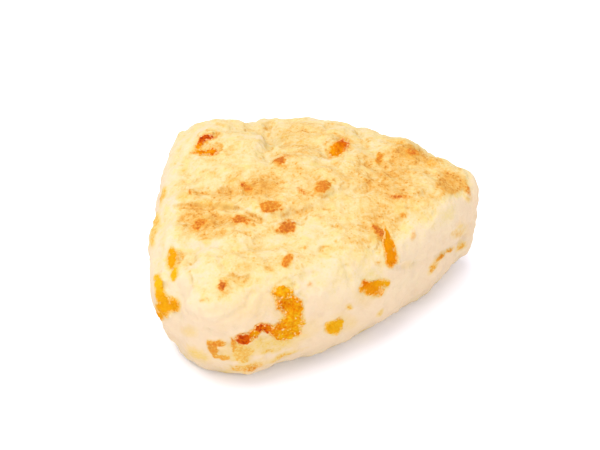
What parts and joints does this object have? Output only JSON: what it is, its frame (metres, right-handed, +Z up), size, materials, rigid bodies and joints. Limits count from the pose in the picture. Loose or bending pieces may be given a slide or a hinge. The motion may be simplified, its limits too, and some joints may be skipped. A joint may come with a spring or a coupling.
{
  "type": "cheese scone",
  "caption": "Thick rounded triangular scone with a domed golden crust, pale sides and melted cheese lumps set flush in it.",
  "frame": {"origin": "on the ground plane, under the middle of the bounding box", "axes": "+Z up from the flat underside; +X towards the narrow corner; +Y away from the long front side"},
  "size_m": [0.093, 0.0902, 0.0407],
  "materials": {
    "crust": "baked dough, matt and floury, golden brown on top and pale cream on the sides",
    "cheese": "melted orange cheese, slightly glossy and bubbled"
  },
  "bodies": {
    "root": {"scone": "crust", "cheese_front_curl": "cheese", "cheese_front_lump": "cheese", "cheese_tall_strip": "cheese", "cheese_right_patch": "cheese", "cheese_low_patch": "cheese", "cheese_left_lump": "cheese", "cheese_left_strip": "cheese", "cheese_top_curl": "cheese", "cheese_top_lump": "cheese", "cheese_back_patch": "cheese", "cheese_back_streak": "cheese", "cheese_side_patch": "cheese", "cheese_tip_lump": "cheese"}
  },
  "joints": []
}
